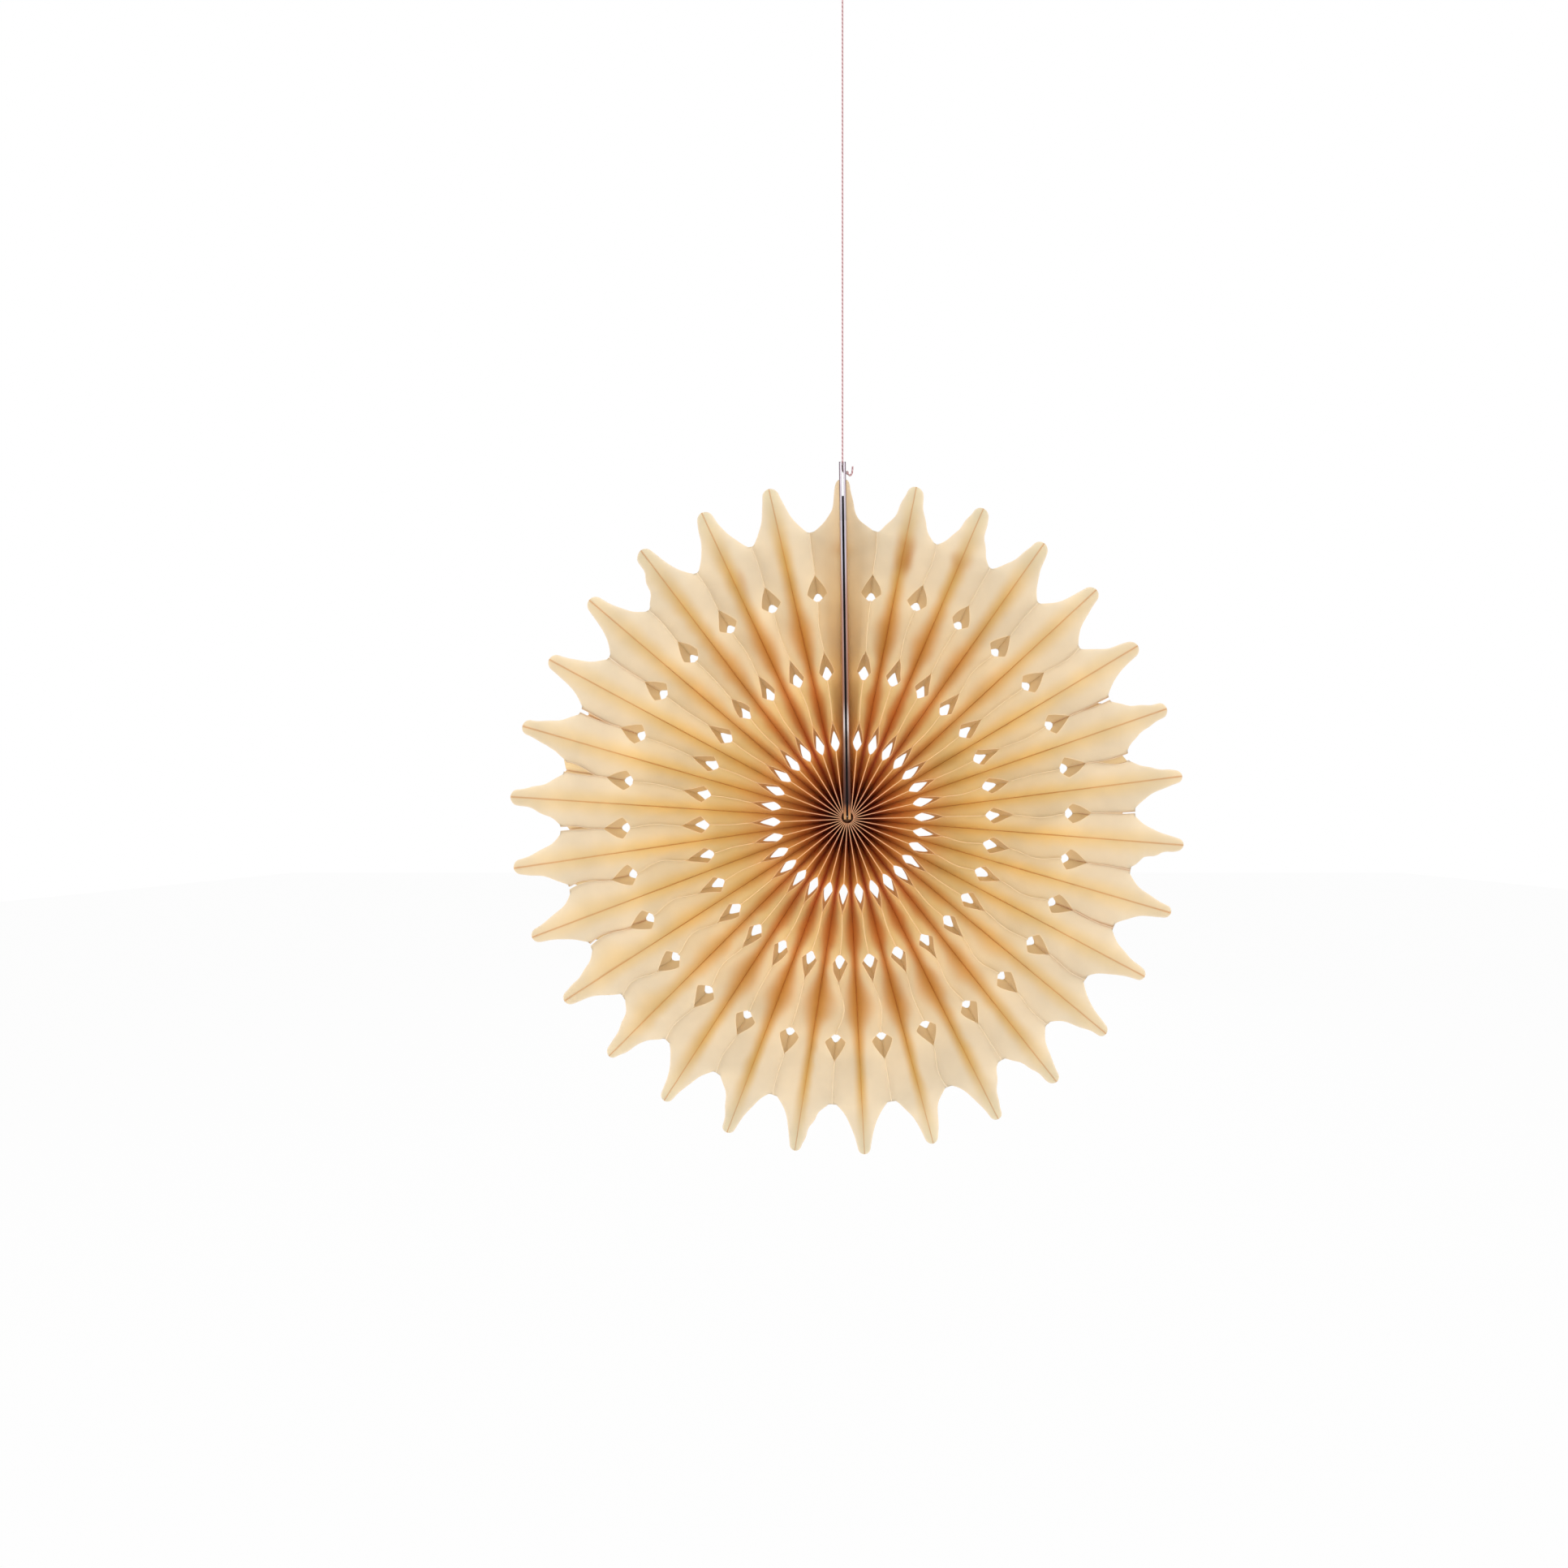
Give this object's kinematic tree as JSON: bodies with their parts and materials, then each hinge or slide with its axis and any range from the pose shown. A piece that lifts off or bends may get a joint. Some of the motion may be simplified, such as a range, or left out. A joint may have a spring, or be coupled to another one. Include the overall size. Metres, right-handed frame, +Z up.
{
  "type": "paper fan rosette",
  "caption": "Hanging tissue paper fan, opened right round into a pleated rosette with pointed tips and punched leaf, kite and diamond holes, on a thread.",
  "frame": {"origin": "middle of the rosette, where its axis crosses its mid-depth plane", "axes": "+Z up along the two boards and the thread, the rosette faces -Y, +X to the right of someone who looks at its front"},
  "size_m": [0.3989, 0.0402, 0.7051],
  "materials": {
    "tissue": "matte tan tissue paper",
    "board": "matte card with pale cut edges",
    "tape": "double-sided adhesive tape",
    "thread": "twisted cotton thread"
  },
  "bodies": {
    "root": {"tissue_cell_01": "tissue", "tissue_cell_02": "tissue", "tissue_cell_03": "tissue", "tissue_cell_04": "tissue", "tissue_cell_05": "tissue", "tissue_cell_06": "tissue", "tissue_cell_07": "tissue", "tissue_cell_08": "tissue", "tissue_cell_09": "tissue", "tissue_cell_10": "tissue", "tissue_cell_11": "tissue", "tissue_cell_12": "tissue", "tissue_cell_13": "tissue", "tissue_cell_14": "tissue", "tissue_cell_15": "tissue", "tissue_cell_16": "tissue", "tissue_cell_17": "tissue", "tissue_cell_18": "tissue", "tissue_cell_19": "tissue", "tissue_cell_20": "tissue", "tissue_cell_21": "tissue", "tissue_cell_22": "tissue", "tissue_cell_23": "tissue", "tissue_cell_24": "tissue", "tissue_cell_25": "tissue", "tissue_cell_26": "tissue", "tissue_cell_27": "tissue", "tissue_cell_28": "tissue", "tissue_cell_29": "tissue", "tissue_cell_30": "tissue", "board_left": "board", "board_right": "board", "joining_tape": "tape", "hanging_thread": "thread", "thread_knot": "thread", "thread_loop": "thread"}
  },
  "joints": []
}
